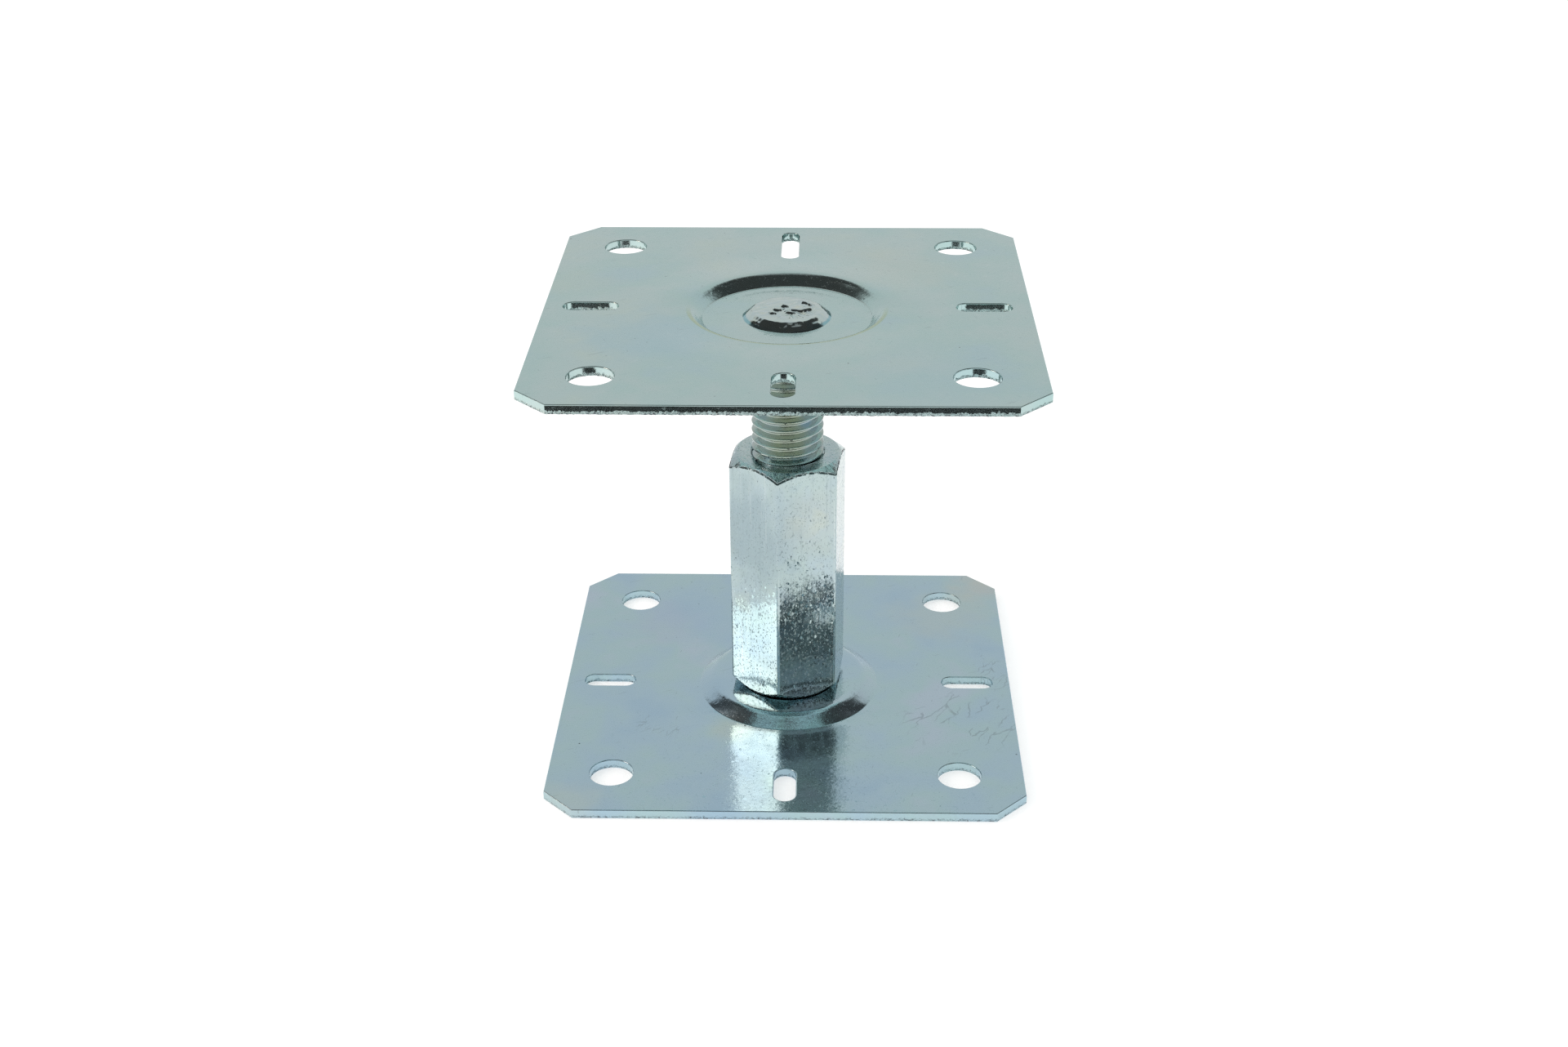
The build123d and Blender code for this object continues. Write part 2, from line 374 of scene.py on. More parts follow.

# Rolled thread. Its greenish yellow is a painted reflection, laid as patches down the front side towards -Y
threadZinc = zincFinish("rolled thread, greenish yellow zinc plate", {
    "cloud": 9.0,
    "tints": ("#9DB1BA", "#A5B3B3", "#A6B4AE", "#A0B3B8"),
    "pits": [(1.8, 0.27, 0.5)],
    "pitColour": "#6E705C",
    "facets": (0.8, 0.01),
    "grain": 0.9,
    "grainHeight": 0.008,
    "swellHeight": 0.01,
    # greenish yellow patches down the front side towards -Y: a painted reflection
    "stainsAndPaintedLight": [((0, -10, 84), 9, "#9CA38A", 0.5), ((1, -10, 95), 8, "#9CA38A", 0.5),
               ((-1, -10, 106), 9, "#9CA38A", 0.5)],
    "roughness": (0.12, 0.2),
})

# Plug weld, wire brushed and plated over: bright, with a blue and yellow edge
weldZinc = zincFinish("weld bead, zinc plate", {
    "cloud": 6.0,
    "tints": ("#B4CCCE", "#C0D0CC", "#BCCED0", "#C6D2C8"),
    "pits": [(1.6, 0.19, 0.5)],
    "pitColour": "#4F5558",
    "facets": (0.8, 0.012),
    "grain": 0.9,
    "grainHeight": 0.012,
    "swellHeight": 0.02,
    "rings": [(11.5, 0.55, "#7FB2BC", 0.85, 0.5, (-12, -5)), (12.0, 0.3, "#A89B62", 0.7, 0.6, (4, 9)),
              (12.1, 0.3, "#4E5F61", 0.8, 0.4, (-2, -8))],
    "roughness": (0.08, 0.13),
})
print("finishes made")


thread = {
    "pitch": 2.5,
    "crestRadius": 9.92,        # M20 x 2.5, crests a little under 20 mm across
    "rootRadius": 8.44,
    "crestWidth": 0.42,
    "rounding": 0.06,
    "crestHeight": 0.741,       # a crest's height at angle 0, as the photo shows it
    "bottom": 27.2,
    "top": 117.2,
    "endChamfer": 1.5,
    "innerCrestRadius": 8.72,
    "innerRootRadius": 10.03,
    "innerBottom": 1.5,
    "innerTop": 77.2,
    "innerWall": 10.6,
    "stepsPerTurn": 64,
    "stepsPerPitch": 18,
    "sharpAngle": 40,
}
joinReach = 1e-6                # metres, under which points count as one


# Starts a geometry tree with its named inputs, and a material as the last of them
def newTree(name, inputs):
    tree = bpy.data.node_groups.new(name, "GeometryNodeTree")
    tree.interface.new_socket("Geometry", in_out="OUTPUT", socket_type="NodeSocketGeometry")
    for label, kind in (*inputs.items(), ("Material", "Material")):
        tree.interface.new_socket(label, in_out="INPUT", socket_type="NodeSocket" + kind)
    return tree, addNode(tree, "NodeGroupInput")


# Ends it with plain geometry in that material
def endTree(tree, geometry, material):
    add = partial(addNode, tree)
    real = add("GeometryNodeRealizeInstances", {"Geometry": geometry})
    finished = add("GeometryNodeSetMaterial", {"Geometry": real[0], "Material": material})
    add("NodeGroupOutput", {"Geometry": finished[0]})


# A right-hand thread's surface. The crest is the ridge that stands at Crest Radius, so with the crest
# inside the root the same tree gives the thread of a nut.
def threadTree():
    inputs = dict.fromkeys(("Pitch", "Crest Radius", "Root Radius", "Crest Width", "Rounding", "Start",
                            "Turns", "End Height", "End Radius"), "Float")
    inputs.update({"Steps Per Turn": "Int", "Steps Per Pitch": "Int"})
    tree, given = newTree("helical thread", inputs)
    add = partial(addNode, tree)
    position = add("GeometryNodeInputPosition")[0]
    flat = add("ShaderNodeSeparateXYZ", {"Vector": position})

    # one line each: result, operation and what it works on, an earlier result, an input or a number.
    # The flank falls at 30 degrees from the edge of the crest to the root, and a cone trims the lower end.
    sums = {"full circle": math.tau, "flank": math.tan(math.radians(30)),
            "around": flat["X"], "across": flat["Y"]}
    sums.update({name: given[name] for name in inputs})
    for result, operation, *parts in (
            ("steps", "MULTIPLY", "Turns", "Steps Per Turn"),
            ("columns", "ADD", "steps", 1.0),
            ("rows", "ADD", "Steps Per Pitch", 1.0),
            ("from start", "ADD", "around", 0.5),
            ("turn", "MULTIPLY", "from start", "Turns"),
            ("aside", "ABSOLUTE", "across"),
            ("along", "MULTIPLY", "aside", "Pitch"),
            ("half crest", "MULTIPLY", "Crest Width", 0.5),
            ("run", "SUBTRACT", "along", "half crest"),
            ("fall", "DIVIDE", "run", "flank"),
            ("span", "SUBTRACT", "Crest Radius", "Root Radius"),
            ("side", "SIGN", "span"),
            ("depth", "ABSOLUTE", "span"),
            ("flat crest", "SMOOTH_MAX", "fall", 0.0, "Rounding"),
            ("fallen", "SMOOTH_MIN", "flat crest", "depth", "Rounding"),
            ("inwards", "MULTIPLY", "fallen", "side"),
            ("free radius", "SUBTRACT", "Crest Radius", "inwards"),
            ("pitches", "ADD", "turn", "across"),
            ("climb", "MULTIPLY", "pitches", "Pitch"),
            ("height", "ADD", "Start", "climb"),
            ("above end", "SUBTRACT", "height", "End Height"),
            ("cone", "ADD", "End Radius", "above end"),
            ("radius", "MINIMUM", "free radius", "cone"),
            ("angle", "MULTIPLY", "turn", "full circle"),
            ("cosine", "COSINE", "angle"),
            ("sine", "SINE", "angle"),
            ("x", "MULTIPLY", "radius", "cosine"),
            ("y", "MULTIPLY", "radius", "sine")):
        values = {index: sums.get(part, part) for index, part in enumerate(parts)}
        sums[result] = add("ShaderNodeMath", values, operation=operation)[0]
    grid = add("GeometryNodeMeshGrid",
               {"Size X": 1.0, "Size Y": 1.0, "Vertices X": sums["columns"], "Vertices Y": sums["rows"]})
    place = add("ShaderNodeCombineXYZ", {"X": sums["x"], "Y": sums["y"], "Z": sums["height"]})
    wound = add("GeometryNodeSetPosition", {"Geometry": grid["Mesh"], "Position": place[0]})
    joined = add("GeometryNodeMergeByDistance", {"Geometry": wound[0], "Distance": 2 * joinReach})
    endTree(tree, joined[0], given["Material"])
    return tree


# Runs a tree with its named inputs, on a curve where it needs one, and returns the plain mesh
def meshFromTree(tree, name, values, curve=None):
    carrier = bpy.data.objects.new(name, curve or bpy.data.meshes.new(name))
    bpy.context.scene.collection.objects.link(carrier)
    modifier = carrier.modifiers.new(tree.name, "NODES")
    modifier.node_group = tree
    identifiers = {item.name: item.identifier for item in tree.interface.items_tree if item.in_out == "INPUT"}
    for key, value in values.items():
        modifier[identifiers[key]] = value
    evaluated = carrier.evaluated_get(bpy.context.evaluated_depsgraph_get())
    mesh = bpy.data.meshes.new_from_object(evaluated)
    mesh.name = name
    carrier.modifiers.clear()
    bpy.data.objects.remove(carrier)
    return mesh


threads = threadTree()


# The wound surface runs a turn past both ends, and is then cut off square
def cutThread(name, bottom, top, crestHeight, crestRadius, rootRadius, end, material):
    first = math.floor((bottom - crestHeight) / thread["pitch"]) - 1
    start = crestHeight + first * thread["pitch"]
    lengths = {"Pitch": thread["pitch"], "Crest Radius": crestRadius, "Root Radius": rootRadius,
               "Crest Width": thread["crestWidth"], "Rounding": thread["rounding"], "Start": start,
               "End Height": end[0], "End Radius": end[1]}
    mesh = meshFromTree(threads, name, {
        **{key: length * mm for key, length in lengths.items()},
        "Turns": float(math.ceil((top - start) / thread["pitch"]) + 2),
        "Steps Per Turn": thread["stepsPerTurn"],
        "Steps Per Pitch": thread["stepsPerPitch"],
        "Material": material,
    })
    builder = bmesh.new()
    builder.from_mesh(mesh)
    for height, side in ((bottom, -1), (top, 1)):
        everything = builder.verts[:] + builder.edges[:] + builder.faces[:]
        bmesh.ops.bisect_plane(builder, geom=everything, plane_co=(0, 0, height * mm),
                               plane_no=(0, 0, side), clear_outer=True, dist=joinReach / 10)
    bmesh.ops.remove_doubles(builder, verts=builder.verts, dist=joinReach)
    return builder


def makeStud():
    end = (thread["bottom"], thread["crestRadius"] - thread["endChamfer"])
    builder = cutThread("threaded_rod", thread["bottom"], thread["top"], thread["crestHeight"],
                        thread["crestRadius"], thread["rootRadius"], end, threadZinc)
    openEdges = [edge for edge in builder.edges if edge.is_boundary]
    bmesh.ops.holes_fill(builder, edges=openEdges, sides=0)
    stud = newPiece("threaded_rod", meshFrom(builder, "threaded_rod"), threadZinc, thread["sharpAngle"])
    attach(stud, "top")
    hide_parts("threaded_stud")
    return stud


# The sleeve's own thread: ridges halfway between the stud's, closed by a wall that lies inside the sleeve
def makeInnerThread():
    bottom, top = thread["innerBottom"], thread["innerTop"]
    noEnd = (0.0, 1000.0)
    builder = cutThread("sleeve_thread", bottom, top, thread["crestHeight"] + thread["pitch"] / 2,
                        thread["innerCrestRadius"], thread["innerRootRadius"], noEnd, sleeveZinc)
    loops = []
    for height in (bottom, top):
        rim = [edge for edge in builder.edges
               if edge.is_boundary and all(abs(v.co.z - height * mm) < joinReach for v in edge.verts)]
        grown = bmesh.ops.extrude_edge_only(builder, edges=rim)["geom"]
        for vert in (item for item in grown if isinstance(item, bmesh.types.BMVert)):
            outward = Vector((vert.co.x, vert.co.y, 0)).normalized() * thread["innerWall"] * mm
            vert.co = (outward.x, outward.y, vert.co.z)
        loops += [item for item in grown if isinstance(item, bmesh.types.BMEdge) and item.is_boundary]
    bmesh.ops.bridge_loops(builder, edges=loops)
    inner = newPiece("sleeve_thread", meshFrom(builder, "sleeve_thread"), sleeveZinc, thread["sharpAngle"])
    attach(inner, "sleeve")
    return inner


stud = makeStud()
innerThread = makeInnerThread()
print("threads wound:", len(stud.data.polygons), "and", len(innerThread.data.polygons), "faces")


sleeve = {
    "flats": 30.0,
    "cornerRound": 1.0,
    "turn": 21.6,               # angle of a corner from +X
    "bottom": 5.6,
    "top": 77.6,
    "chamferRadius": 14.4,
    "chamferAngle": 38.0,
    "lowerChamferRadius": 14.3,
    "lowerChamferAngle": 44.0,
    "chamferRound": 0.3,
    "mouthRadius": 10.4,
    "mouthDepth": 0.4,
    "boreRadius": 10.06,
    "neckRadius": 12.5,
    "rimRadius": 14.5,
    "rimTop": 2.5,
    "rimBottom": 1.0,
    "rimRound": 0.6,
    "smallRound": 0.1,
    "pointsPerFlat": 36,
    "pointsPerCorner": 8,
    "pointsPerRound": 4,
    "endRows": [0.5, 0.9, 1.4, 2.2, 4.0],       # rows of points beyond each chamfer
    "middleRows": [0.75, 0.5, 0.25],            # and in between, as shares of the length
    "burr": 0.16,
    "burrReach": 0.8,
    "sharpAngle": 50,
}


# Points of the rounded hexagon's outline, one face and one corner after the other
def hexOutline():
    half = sleeve["flats"] / 2
    rounding = sleeve["cornerRound"]
    cornerCentre = (half - rounding) / math.cos(math.radians(30))
    reach = cornerCentre * math.sin(math.radians(30))
    points = []
    for number in range(6):
        faceAngle = math.radians(sleeve["turn"] + 30 + 60 * number)
        outward = Vector((math.cos(faceAngle), math.sin(faceAngle)))
        sideways = Vector((-outward.y, outward.x))
        for step in range(sleeve["pointsPerFlat"] + 1):
            along = -reach + 2 * reach * step / sleeve["pointsPerFlat"]
            points.append(outward * half + sideways * along)
        centre = outward * (half - rounding) + sideways * reach
        for step in range(1, sleeve["pointsPerCorner"]):
            angle = faceAngle + math.radians(60 * step / sleeve["pointsPerCorner"])
            points.append(centre + rounding * Vector((math.cos(angle), math.sin(angle))))
    return points


# Rounds the corners of a section line, given as (radius, height, rounding)
def roundedSection(corners):
    segments = sleeve["pointsPerRound"]
    line = []
    for index, (radius, height, rounding) in enumerate(corners):
        here = Vector((radius, height))
        if not rounding:
            line.append(here)
            continue
        back = (Vector(corners[index - 1][:2]) - here).normalized()
        ahead = (Vector(corners[(index + 1) % len(corners)][:2]) - here).normalized()
        halfAngle = back.angle(ahead) / 2
        tangent = rounding / math.tan(halfAngle)
        centre = here + (back + ahead).normalized() * (rounding / math.sin(halfAngle))
        first = here + back * tangent - centre
        last = here + ahead * tangent - centre
        turn = first.angle_signed(last)
        for step in range(segments + 1):
            line.append(centre + Matrix.Rotation(-turn * step / segments, 2) @ first)
    return line


# Section of the sleeve in the direction where the hexagon reaches so far out
def sleeveSection(reach, slope, lowerSlope):
    top, bottom = sleeve["top"], sleeve["bottom"]
    soft, small = sleeve["chamferRound"], sleeve["smallRound"]
    drop = (reach - sleeve["chamferRadius"]) * slope
    rise = (reach - sleeve["lowerChamferRadius"]) * lowerSlope
    return roundedSection([
        (sleeve["boreRadius"], top - sleeve["mouthDepth"], 0),
        (sleeve["mouthRadius"], top, small),
        (sleeve["chamferRadius"], top, soft),
        (reach, top - drop, soft),
        *[(reach, top - drop - step, 0) for step in sleeve["endRows"]],
        *[(reach, bottom + share * (top - bottom), 0) for share in sleeve["middleRows"]],
        *[(reach, bottom + rise + step, 0) for step in reversed(sleeve["endRows"])],
        (reach, bottom + rise, soft),
        (sleeve["lowerChamferRadius"], bottom, soft),
        (sleeve["neckRadius"], bottom, small),
        (sleeve["neckRadius"], sleeve["rimTop"], small),
        (sleeve["rimRadius"], sleeve["rimTop"], sleeve["rimRound"]),
        (sleeve["rimRadius"], sleeve["rimBottom"], sleeve["rimRound"]),
        (sleeve["mouthRadius"], sleeve["rimBottom"], small),
        (sleeve["boreRadius"], sleeve["rimBottom"] + sleeve["mouthDepth"], 0),
    ])


def makeSleeve():
    slope = math.tan(math.radians(sleeve["chamferAngle"]))
    lowerSlope = math.tan(math.radians(sleeve["lowerChamferAngle"]))
    builder = bmesh.new()
    rings = []
    for point in hexOutline():
        direction = point.normalized()
        ring = []
        for station in sleeveSection(point.length, slope, lowerSlope):
            ring.append(builder.verts.new(Vector((*(direction * station.x), station.y)) * mm))
        rings.append(ring)
    count = len(rings[0])
    for ring, following in zip(rings, rings[1:] + rings[:1]):
        for step in range(count):
            other = (step + 1) % count
            builder.faces.new((ring[step], following[step], following[other], ring[other]))
    # chatter and small burrs along the edge that the turning tool left on every flat
    for ring in rings:
        for vert in ring:
            place = vert.co / mm
            radial = math.hypot(place.x, place.y)
            edge = max((radial - sleeve["chamferRadius"]) * slope, 0.0)
            fromEdge = min(abs(sleeve["top"] - edge - place.z), abs(place.z - sleeve["bottom"] - edge))
            if fromEdge < sleeve["burrReach"] and radial > sleeve["chamferRadius"]:
                nicks = noise.noise(place * 1.9) + 0.7 * noise.noise(place * 4.7)
                inward = -max(nicks - 0.1, 0.0) * sleeve["burr"] * (1 - fromEdge / sleeve["burrReach"])
                vert.co += Vector((place.x, place.y, 0)).normalized() * inward * mm
    piece = newPiece("hexagon_sleeve", meshFrom(builder, "hexagon_sleeve"), sleeveZinc,
                     sleeve["sharpAngle"])
    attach(piece, "sleeve")
    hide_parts("hex_sleeve")
    return piece


hexSleeve = makeSleeve()
print("sleeve turned:", len(hexSleeve.data.polygons), "faces")


weld = {
    "radius": 12.15,
    "floor": 117.2,
    "height": 2.28,
    "sag": 0.06,                # share of the height by which the dome falls towards its shoulder
    "plateau": 0.775,           # share of the radius where the shoulder is
    "fall": 1.08,
    "ceiling": 2.74,
    "rings": 70,
    "ringBias": 0.85,           # rings lie closer towards the rim
    "sectors": 180,
    "edgeWander": 0.45,
    "sink": 0.18,
    "wrinkle": 0.16,
    "comb": {"teeth": 30, "height": 0.11, "place": 0.55, "reach": 0.16},
    "ledge": {"height": 0.22, "place": 0.90, "reach": 0.035},
    "sharpAngle": 60,
    # wrinkles drawn by the torch: middle, length, width, angle from +X, height
    "wrinkles": [
        (5.2, 3.9, 5.0, 1.5, -49, 0.80),
        (5.8, -0.6, 2.8, 1.3, 35, 0.75),
        (4.2, -1.4, 3.0, 1.3, 30, 0.80),
        (2.4, -1.6, 3.0, 1.4, 15, 0.80),
        (1.0, -3.2, 3.4, 1.3, -10, 0.60),
        (-2.6, -1.2, 2.6, 1.6, -40, 0.80),
        (-4.0, -3.4, 3.0, 1.3, -20, 0.60),
        (-0.6, 1.6, 2.2, 1.2, -35, 0.70),
    ],
}


# Height of the bead over the dish floor, from its middle out: a low dome that falls steeply to its rim
def weldProfile(share):
    beyond = max(share - weld["plateau"], 0.0) / (1 - weld["plateau"])
    dome = weld["height"] * (1 - weld["sag"] * min(share / weld["plateau"], 1.0) ** 2)
    return dome * (1 - beyond ** weld["fall"])


def bell(distance, reach):
    return math.exp(-(distance / reach) ** 2)


def wrinkleHeight(x, y):
    height = 0.0
    for middleX, middleY, length, width, turn, rise in weld["wrinkles"]:
        angle = math.radians(turn)
        along = (x - middleX) * math.cos(angle) + (y - middleY) * math.sin(angle)
        across = (y - middleY) * math.cos(angle) - (x - middleX) * math.sin(angle)
        across += 0.5 * noise.noise(Vector((along * 0.5, turn, 0)))
        height += rise * math.exp(-(2 * along / length) ** 4) * bell(across, width * 0.5)
    return height


# Height over the dish floor at a place, which lies at a share of the way out to the rim
def weldHeight(place, angle, share):
    comb, ledge = weld["comb"], weld["ledge"]
    # comb-like ripples fan out where the dome turns down towards the near side
    ripple = math.sin(angle * comb["teeth"] + 2.2 * noise.noise(place * 0.35))
    ripple *= bell(share - comb["place"], comb["reach"])
    ripple *= comb["height"] if place.y < 0 and place.x > -3 else 0.0
    rough = noise.noise(Vector((place.x * 0.5, place.y * 0.8 - place.x * 0.4, 3.0)))
    fade = 1 - share ** 5
    height = weldProfile(share) + fade * (weld["wrinkle"] * rough + ripple - weld["sink"])
    height += fade * wrinkleHeight(place.x, place.y)
    # broken ledges of spatter round the near side of the rim
    broken = max(noise.noise(Vector((angle * 5, share * 3, 7))) + 0.35, 0.0)
    near = max(-math.sin(angle + 0.25), 0.0)
    height += ledge["height"] * broken * near * bell(share - ledge["place"], ledge["reach"])
    return max(min(height, weld["ceiling"]), 0.0)


def makeWeld():
    builder = bmesh.new()
    crown = builder.verts.new((0, 0, (weld["floor"] + weldProfile(0)) * mm))
    foot = builder.verts.new((0, 0, weld["floor"] * mm))
    rings = []
    for step in range(1, weld["rings"] + 1):
        share = (step / weld["rings"]) ** weld["ringBias"]
        ring = []
        for sector in range(weld["sectors"]):
            angle = math.tau * sector / weld["sectors"]
            direction = Vector((math.cos(angle), math.sin(angle), 0))
            wander = noise.noise(direction * 1.3 + Vector((0, 0, 4))) + 0.4 * noise.noise(direction * 4.5)
            edge = weld["radius"] - weld["edgeWander"] * min(max(0.5 + wander, 0.0), 1.0)
            place = direction * edge * share
            height = weld["floor"] + weldHeight(place, angle, share)
            ring.append(builder.verts.new(Vector((place.x, place.y, height)) * mm))
        rings.append(ring)
    crown.co.z = sum(vert.co.z for vert in rings[0]) / len(rings[0])
    for sector in range(weld["sectors"]):
        following = (sector + 1) % weld["sectors"]
        builder.faces.new((crown, rings[0][sector], rings[0][following]))
        builder.faces.new((foot, rings[-1][following], rings[-1][sector]))
        for inner, outer in zip(rings, rings[1:]):
            builder.faces.new((inner[sector], outer[sector], outer[following], inner[following]))
    piece = newPiece("weld_bead", meshFrom(builder, "weld_bead"), weldZinc, weld["sharpAngle"])
    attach(piece, "top")
    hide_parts("plug_weld")
    return piece


weldBead = makeWeld()
print("weld laid:", len(weldBead.data.polygons), "faces")


for node, material in (("base_plate", basePlateZinc), ("top_plate", topPlateZinc)):
    nodes[node].data.materials.clear()
    nodes[node].data.materials.append(material)
print("plates finished")


burr = {
    "height": 117.5,            # the top plate's lower face, where the punch came out
    "thickness": 0.11,
    "unevenness": 1.1,
    "step": 0.5,
    "inset": 0.20,
    "side": 130.0,
    "cornerCut": 8.5,
    "holeRadius": 6.0,
    "holePlace": 47.5,
    # middle, length, width and angle from +X of each slot
    "slots": [(-52.5, 0, 15, 6, 0), (52.5, 0, 15, 6, 0), (0, -52.5, 15, 6, 90), (0, 49, 22, 5, 90)],
    "pointsPerArc": 32,
    "pointsPerHole": 48,
    "seed": 4,
    "sharpAngle": 30,
}


# A ragged bead along a closed curve, thick and thin by turns
def burrTree():
    tree, given = newTree("punching burr", {
        "Geometry": "Geometry", "Step": "Float", "Thickness": "Float", "Unevenness": "Float", "Seed": "Int"})
    add = partial(addNode, tree)
    stepped = add("GeometryNodeResampleCurve",
                  {"Curve": given["Geometry"], "Length": given["Step"]}, mode="LENGTH")
    chance = add("FunctionNodeRandomValue", {"Seed": given["Seed"]}, data_type="FLOAT")
    spread = add("ShaderNodeMath", {0: chance[1], 1: 2.0}, operation="POWER")[0]
    wide = add("ShaderNodeMath", {0: spread, 1: given["Unevenness"], 2: 0.6}, operation="MULTIPLY_ADD")[0]
    profile = add("GeometryNodeCurvePrimitiveCircle", {"Resolution": 5, "Radius": given["Thickness"]})
    bead = add("GeometryNodeCurveToMesh",
               {"Curve": stepped[0], "Profile Curve": profile[0], "Scale": wide,
                "Fill Caps": True})
    endTree(tree, bead[0], given["Material"])
    return tree


# Points of an arc about the origin, from one angle on through a turn
def arcPoints(radius, first, turn, steps):
    angles = [first + turn * step / steps for step in range(steps + 1)]
    return [Vector((math.cos(angle), math.sin(angle))) * radius for angle in angles]


# Outlines of the top plate and of its openings, a little inside the steel
def burrPaths():
    half = burr["side"] / 2 - burr["inset"]
    cut = burr["cornerCut"]
    outline = []
    for turn in range(4):
        spin = Matrix.Rotation(turn * math.pi / 2, 2)
        outline += [spin @ Vector((half, -half + cut)), spin @ Vector((half, half - cut))]
    paths = [outline]
    ring = arcPoints(burr["holeRadius"] + burr["inset"], 0.0, math.tau, burr["pointsPerHole"])[:-1]
    for x in (-1, 1):
        for y in (-1, 1):
            middle = Vector((x, y)) * burr["holePlace"]
            paths.append([middle + point for point in ring])
    for x, y, length, width, turn in burr["slots"]:
        spin = Matrix.Rotation(-math.radians(turn), 2)
        arc = arcPoints(width / 2 + burr["inset"], -math.pi / 2, math.pi, burr["pointsPerArc"])
        path = [Vector(((length - width) / 2, 0)) + point for point in arc]
        path += [-point for point in path]
        paths.append([Vector((x, y)) + spin @ point for point in path])
    return paths


def makeBurr():
    curve = bpy.data.curves.new("top_plate_burr", "CURVE")
    curve.dimensions = "3D"
    for path in burrPaths():
        spline = curve.splines.new("POLY")
        spline.points.add(len(path) - 1)
        for point, place in zip(spline.points, path):
            point.co = (place.x * mm, place.y * mm, burr["height"] * mm, 1.0)
        spline.use_cyclic_u = True
    mesh = meshFromTree(burrTree(), "top_plate_burr", {
        "Step": burr["step"] * mm,
        "Thickness": burr["thickness"] * mm,
        "Unevenness": burr["unevenness"],
        "Seed": burr["seed"],
        "Material": topPlateZinc,
    }, curve)
    piece = newPiece("top_plate_burr", mesh, topPlateZinc, burr["sharpAngle"])
    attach(piece, "top")
    return piece


ragged = makeBurr()
print("burr left by the punch:", len(ragged.data.polygons), "faces")


white = (1.0, 1.0, 1.0, 1.0)
studio = {
    "floorColour": "#F2F3F3",
    "floorGlow": 0.46,
    "floorReach": 8000,
    "floorHeight": -0.2,
    "leftPanel": {"azimuth": -76.5, "elevation": 32, "distance": 900, "width": 340, "height": 340,
                  "level": 3.85, "colour": "#FFDED0"},
    "frontMat": {"x": (-140, 140), "y": (-450, -225), "z": 0.5, "level": 0.03},
    "sky": 0.74,
    # the dark part of the room, which starts about 30 degrees up, higher in front, and leaves the back open
    "darkRoom": {"reach": 3000, "level": 0.045, "start": (0.42, 0.54), "frontRise": 0.45,
                 "sideShare": 0.45, "riseShare": 0.364, "closing": (0.10, -0.12), "lowest": 300},
    # azimuth from the camera's side towards +X, elevation, inner and outer reach in degrees, and then the
    # share of the dark that a window leaves, or a patch's level
    "windows": [(180, 75, 10, 17, 0.6), (86, 36, 7, 14, 0.6), (-94, 34, 9, 16, 0.55)],
    "patches": [(43, 26, 5.5, 14, 0.06), (43, 41, 5, 12, 0.4)],
}


def towards(azimuth, elevation):
    a, e = math.radians(azimuth), math.radians(elevation)
    return Vector((math.cos(e) * math.sin(a), -math.cos(e) * math.cos(a), math.sin(e)))


# A soft round spot in the sky, between two angles from its middle
def skySpot(tree, direction, azimuth, elevation, inner, outer):
    nearness = addNode(tree, "ShaderNodeVectorMath", {0: direction, 1: towards(azimuth, elevation)},
                       operation="DOT_PRODUCT")["Value"]
    return softMask(tree, (nearness, math.cos(math.radians(outer)), math.cos(math.radians(inner))))


def flatSheet(name, left, right, near, far, height, material):
    corners = [(left, near), (right, near), (right, far), (left, far)]
    mesh = bpy.data.meshes.new(name)
    mesh.from_pydata([(x * mm, y * mm, height * mm) for x, y in corners], [], [(0, 1, 2, 3)])
    return newPiece(name, mesh, material)


# White to the camera and in the metal, with the object's shadow on it
def makeFloor():
    material, tree = newMaterial("matt paper sweep")
    add = partial(addNode, tree)
    paper = add("ShaderNodeBsdfDiffuse", {"Color": linear(studio["floorColour"])})
    path = add("ShaderNodeLightPath")
    seen = 0.0
    for ray in ("Is Camera Ray", "Is Glossy Ray", "Is Transmission Ray"):
        seen = add("ShaderNodeMath", {0: seen, 1: path[ray]}, operation="MAXIMUM")[0]
    strength = add("ShaderNodeMath", {0: seen, 1: studio["floorGlow"]}, operation="MULTIPLY")[0]
    glow = add("ShaderNodeEmission", {"Color": white, "Strength": strength})
    both = add("ShaderNodeAddShader", {0: paper[0], 1: glow[0]})
    add("ShaderNodeOutputMaterial", {"Surface": both[0]})
    reach = studio["floorReach"]
    floor = flatSheet("floor", -reach, reach, -reach, reach, studio["floorHeight"], material)


def hideFromCamera(piece):
    piece.visible_camera = False
    piece.visible_diffuse = False
    piece.visible_shadow = False


# A dull mat on the floor in front, which only shows in the metal, as a photographer's flag does
def makeFrontMat():
    mat = studio["frontMat"]
    material, tree = newMaterial("dull mat")
    add = partial(addNode, tree)
    dull = add("ShaderNodeEmission", {"Color": white, "Strength": mat["level"]})
    add("ShaderNodeOutputMaterial", {"Surface": dull[0]})
    hideFromCamera(flatSheet("front mat", *mat["x"], *mat["y"], mat["z"], material))


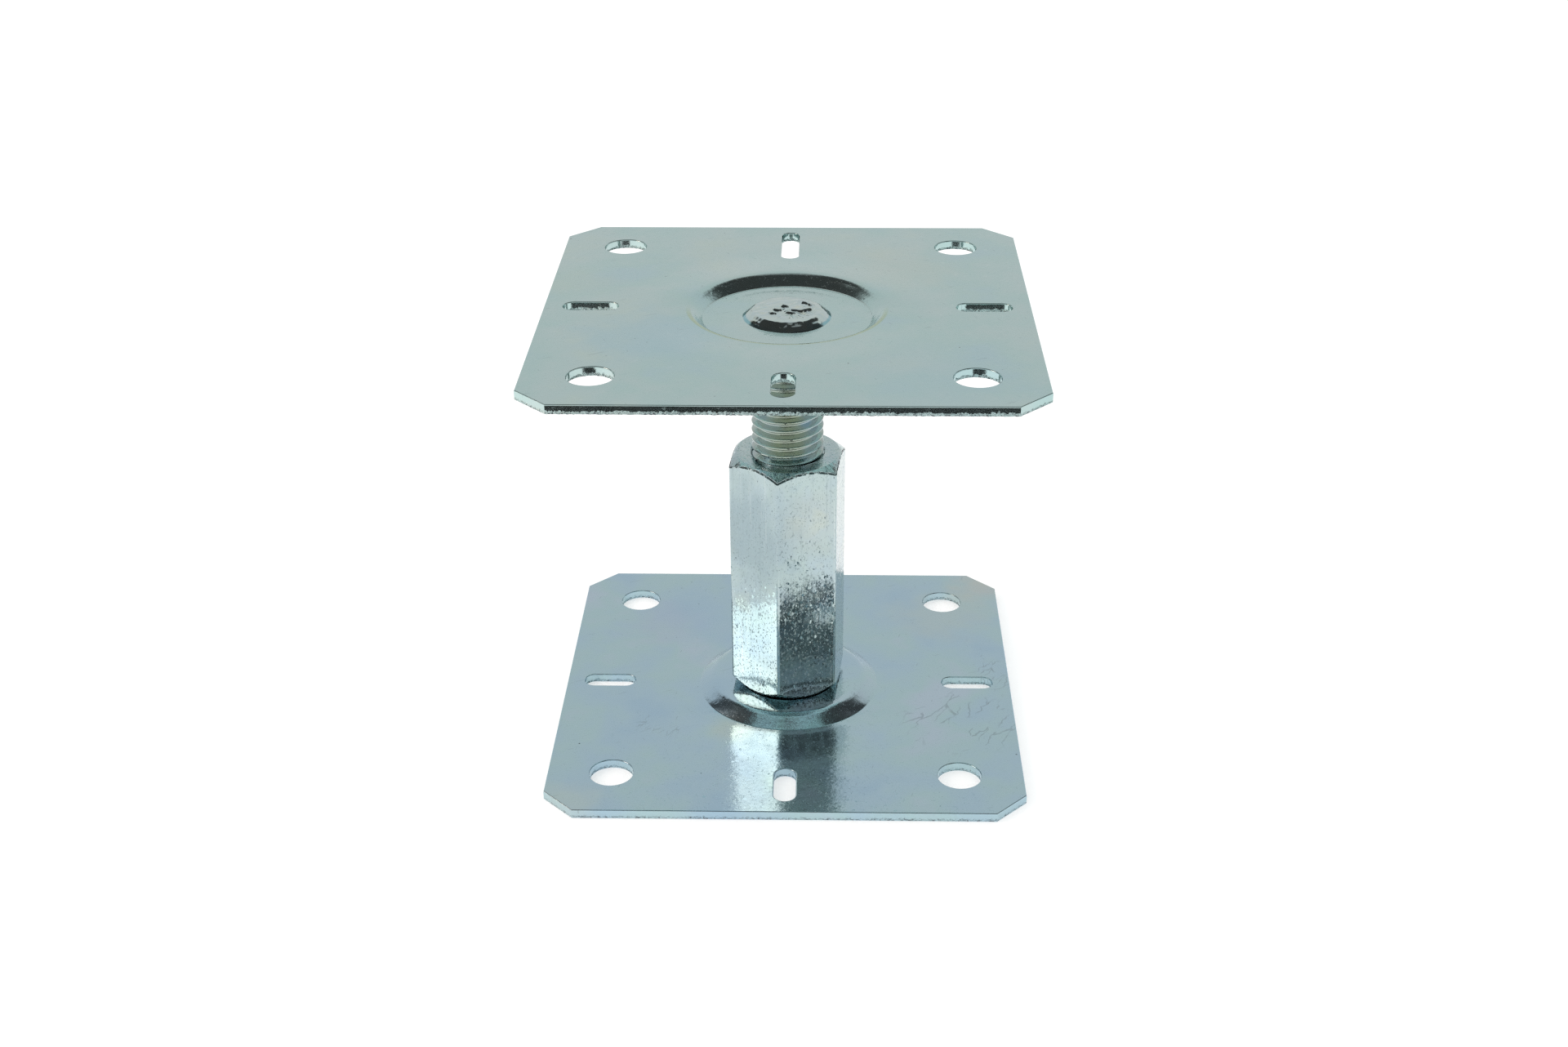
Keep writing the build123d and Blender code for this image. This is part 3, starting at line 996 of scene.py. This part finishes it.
# The dark room above and around the paper, open towards the back, where the paper hangs
def makeDarkRoom():
    room = studio["darkRoom"]
    material, tree = newMaterial("dark room")
    add = partial(addNode, tree)
    place = add("ShaderNodeTexCoord")["Object"]
    place = add("ShaderNodeVectorMath", {0: place}, operation="NORMALIZE")[0]
    axes = add("ShaderNodeSeparateXYZ", {"Vector": place})
    aside = add("ShaderNodeMath", {0: axes["X"]}, operation="ABSOLUTE")[0]
    opening = add("ShaderNodeMath", {0: aside, 1: -room["sideShare"], 2: axes["Y"]},
                  operation="MULTIPLY_ADD")[0]
    opening = add("ShaderNodeMath", {0: axes["Z"], 1: -room["riseShare"], 2: opening},
                  operation="MULTIPLY_ADD")[0]
    above = add("ShaderNodeMath", {0: axes["Y"], 1: room["frontRise"], 2: axes["Z"]},
                operation="MULTIPLY_ADD")[0]
    share = softMask(tree, (opening, *room["closing"]), (above, *room["start"]))
    for *spot, left in studio["windows"]:
        shut = add("ShaderNodeMath", {0: skySpot(tree, place, *spot), 1: left - 1, 2: 1.0},
                   operation="MULTIPLY_ADD")[0]
        share = softMask(tree, share, shut)
    dark = add("ShaderNodeEmission", {"Color": white, "Strength": room["level"]})
    clear = add("ShaderNodeBsdfTransparent")
    both = add("ShaderNodeMixShader", {0: share, 1: clear[0], 2: dark[0]})
    add("ShaderNodeOutputMaterial", {"Surface": both[0]})
    builder = bmesh.new()
    bmesh.ops.create_uvsphere(builder, u_segments=48, v_segments=24, radius=room["reach"] * mm)
    bmesh.ops.bisect_plane(builder, geom=builder.verts[:] + builder.edges[:] + builder.faces[:],
                           plane_co=(0, 0, room["lowest"] * mm), plane_no=(0, 0, -1), clear_outer=True)
    hideFromCamera(newPiece("dark room", meshFrom(builder, "dark room"), material))


def makePanel():
    panel = studio["leftPanel"]
    light = bpy.data.lights.new("left panel", "AREA")
    light.shape = "RECTANGLE"
    light.size = panel["width"] * mm
    light.size_y = panel["height"] * mm
    light.color = linear(panel["colour"])[:3]
    light.energy = panel["level"] * math.pi * light.size * light.size_y
    lamp = bpy.data.objects.new("left panel", light)
    bpy.context.scene.collection.objects.link(lamp)
    away = towards(panel["azimuth"], panel["elevation"])
    lamp.location = away * panel["distance"] * mm
    lamp.rotation_euler = away.to_track_quat("Z", "Y").to_euler()
    lamp.visible_camera = False


# Soft light from all round, with two dark patches in front on the right. To the camera all of it is white.
def makeRoom():
    world = bpy.data.worlds.new("studio room")
    world.use_nodes = True
    tree = world.node_tree
    tree.nodes.clear()
    add = partial(addNode, tree)
    direction = add("ShaderNodeTexCoord")["Generated"]
    layers = [(skySpot(tree, direction, *spot), dark) for *spot, dark in studio["patches"]]
    layers.append((add("ShaderNodeLightPath")["Is Camera Ray"], 1.0))
    level = layOver(tree, studio["sky"], layers, "FLOAT")
    light = add("ShaderNodeBackground", {"Color": white, "Strength": level})
    add("ShaderNodeOutputWorld", {"Surface": light[0]})
    bpy.context.scene.world = world


makeFloor()
makeFrontMat()
makeDarkRoom()
makePanel()
makeRoom()
bpy.context.scene.view_settings.view_transform = "Standard"
print("studio set")


camera = {
    "place": (9.70, -483.24, 306.00),
    "azimuth": 1.28,
    "elevation": 27.46,
    "roll": -0.23,
    "lens": 44.32,
}


def makeCamera():
    data = bpy.data.cameras.new("camera")
    data.lens = camera["lens"]
    data.sensor_width = 36.0
    data.clip_start = 0.01
    data.clip_end = 50.0
    taker = bpy.data.objects.new("camera", data)
    bpy.context.scene.collection.objects.link(taker)
    backward = towards(camera["azimuth"], camera["elevation"])
    right = Vector((0, 0, 1)).cross(backward).normalized()
    up = backward.cross(right)
    turn = Matrix((right, up, backward)).transposed().to_4x4()
    roll = Matrix.Rotation(math.radians(camera["roll"]), 4, "Z")
    taker.matrix_world = Matrix.Translation(Vector(camera["place"]) * mm) @ turn @ roll
    bpy.context.scene.camera = taker


makeCamera()
bpy.context.view_layer.update()
